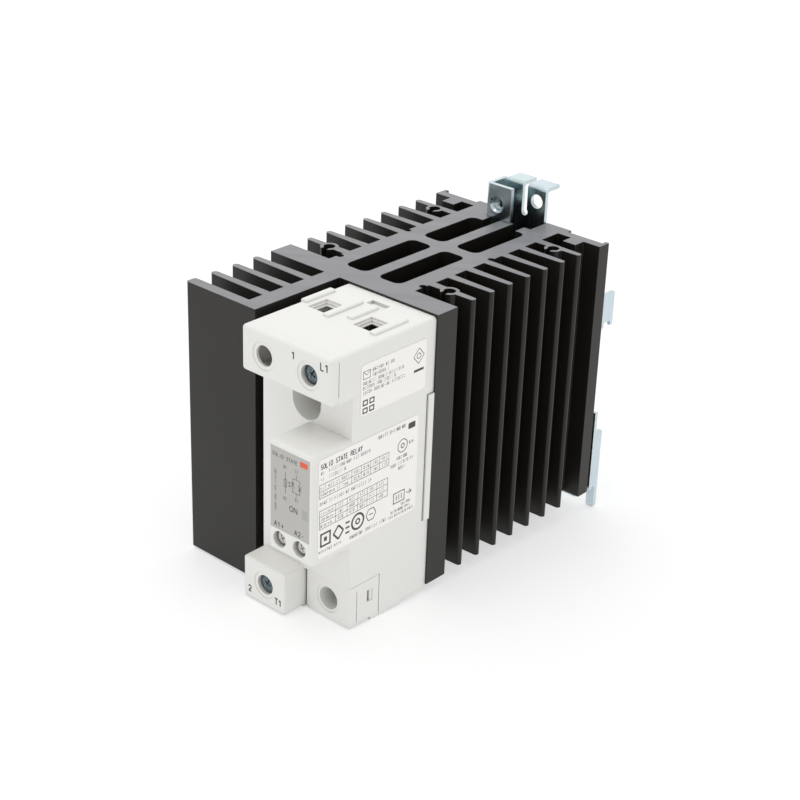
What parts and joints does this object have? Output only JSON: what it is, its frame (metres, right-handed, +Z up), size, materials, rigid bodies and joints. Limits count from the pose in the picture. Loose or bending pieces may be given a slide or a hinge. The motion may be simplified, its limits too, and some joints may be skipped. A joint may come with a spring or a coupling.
{
  "type": "solid state relay with heatsink",
  "caption": "DIN-rail solid state relay: white terminal module screwed to a black finned heatsink, with screw terminals, sprung rail clip and earth bracket.",
  "frame": {"origin": "bottom centre of the assembly's box, level with the clip's release tabs", "axes": "+Z up along the heatsink's extrusion, -Y towards the front with the terminals, +X to the right seen from the front"},
  "size_m": [0.07, 0.142, 0.1126],
  "materials": {
    "anodised": "black anodised, sawn ends grey",
    "housing": "light grey moulded plastic",
    "front_label": "grey printed film",
    "sticker": "white printed sticker",
    "light_guide": "clear plastic guide",
    "tinned_copper": "tinned copper",
    "copper": "bare copper",
    "base_aluminium": "milled",
    "compound": "thermal paste",
    "screw_zinc": "bluish zinc plate",
    "tinned_steel": "tin-plated",
    "ceramic": "alumina",
    "silicon": "silicon die",
    "board": "solder mask",
    "black_epoxy": "moulded epoxy",
    "varistor": "blue epoxy coat",
    "capacitor": "film capacitor box",
    "resistor": "lacquer",
    "led": "clear epoxy",
    "zinc_plate": "bluish zinc-plated sheet",
    "spring_steel": "drawn wire"
  },
  "bodies": {
    "relay_body": {"heatsink": "anodised", "main_housing": "housing", "upper_terminal_housing": "housing", "terminal_front_cover": "housing", "control_housing": "housing", "load_terminal_housing": "housing", "lower_front_cover": "housing", "side_clip_strip": "housing", "front_label": "front_label", "side_label_upper": "sticker", "side_label_lower": "sticker", "light_guide": "light_guide", "control_contact_a1": "tinned_copper", "control_contact_a2": "tinned_copper", "line_busbar": "copper", "load_busbar": "copper", "module_base_plate": "base_aluminium", "thermal_compound": "compound", "fixing_screws": "screw_zinc", "ceramic_substrate": "ceramic", "thyristor_chips": "silicon", "chip_link": "copper", "gate_leads": "tinned_copper", "control_board": "board", "optocoupler": "black_epoxy", "varistor": "varistor", "snubber_capacitor": "capacitor", "snubber_resistor": "resistor", "control_resistors": "black_epoxy", "status_led": "led", "earth_bracket": "zinc_plate", "bracket_rivets": "screw_zinc", "din_plate": "zinc_plate", "din_plate_screws": "screw_zinc", "slider_rivets": "screw_zinc", "slider_spring": "spring_steel"},
    "line_screw": {"line_screw": "screw_zinc"},
    "line_cage": {"line_cage": "tinned_steel"},
    "load_screw": {"load_screw": "screw_zinc"},
    "load_cage": {"load_cage": "tinned_steel"},
    "control_screw_a1": {"control_screw_a1": "screw_zinc"},
    "control_clamp_a1": {"control_clamp_a1": "tinned_steel"},
    "control_screw_a2": {"control_screw_a2": "screw_zinc"},
    "control_clamp_a2": {"control_clamp_a2": "tinned_steel"},
    "din_slider": {"din_slider": "zinc_plate"}
  },
  "joints": [
    {"name": "line_cage_slide", "type": "slide", "parent": "relay_body", "child": "line_cage", "axis": [0, 1, 0], "range_m": [-0.006, 0]},
    {"name": "line_screw_turn", "type": "hinge", "parent": "relay_body", "child": "line_screw", "pos_m": [0.0255, -0.05545, 0.0925], "axis": [0, 1, 0], "range_deg": [0, 2701]},
    {"name": "load_cage_slide", "type": "slide", "parent": "relay_body", "child": "load_cage", "axis": [0, 1, 0], "range_m": [-0.006, 0]},
    {"name": "load_screw_turn", "type": "hinge", "parent": "relay_body", "child": "load_screw", "pos_m": [0.0074, -0.05545, 0.0152], "axis": [0, 1, 0], "range_deg": [0, 2701]},
    {"name": "control_clamp_a1_slide", "type": "slide", "parent": "relay_body", "child": "control_clamp_a1", "axis": [0, 1, 0], "range_m": [-0.003, 0]},
    {"name": "control_screw_a1_turn", "type": "hinge", "parent": "relay_body", "child": "control_screw_a1", "pos_m": [0.0212, -0.06745, 0.0404], "axis": [0, 1, 0], "range_deg": [0, 2161]},
    {"name": "control_clamp_a2_slide", "type": "slide", "parent": "relay_body", "child": "control_clamp_a2", "axis": [0, 1, 0], "range_m": [-0.003, 0]},
    {"name": "control_screw_a2_turn", "type": "hinge", "parent": "relay_body", "child": "control_screw_a2", "pos_m": [0.0293, -0.06745, 0.0404], "axis": [0, 1, 0], "range_deg": [0, 2161]},
    {"name": "din_clip_slide", "type": "slide", "parent": "relay_body", "child": "din_slider", "axis": [0, 0, 1], "range_m": [-0.005, 0], "stiffness_N_per_m": 800, "springref_m": 0.005, "deforming": ["slider_spring"]}
  ],
  "couplings": [
    {"joint": "line_screw_turn", "follows": "line_cage_slide", "rad_per_m": -7854},
    {"joint": "load_screw_turn", "follows": "load_cage_slide", "rad_per_m": -7854},
    {"joint": "control_screw_a1_turn", "follows": "control_clamp_a1_slide", "rad_per_m": -12566},
    {"joint": "control_screw_a2_turn", "follows": "control_clamp_a2_slide", "rad_per_m": -12566}
  ]
}
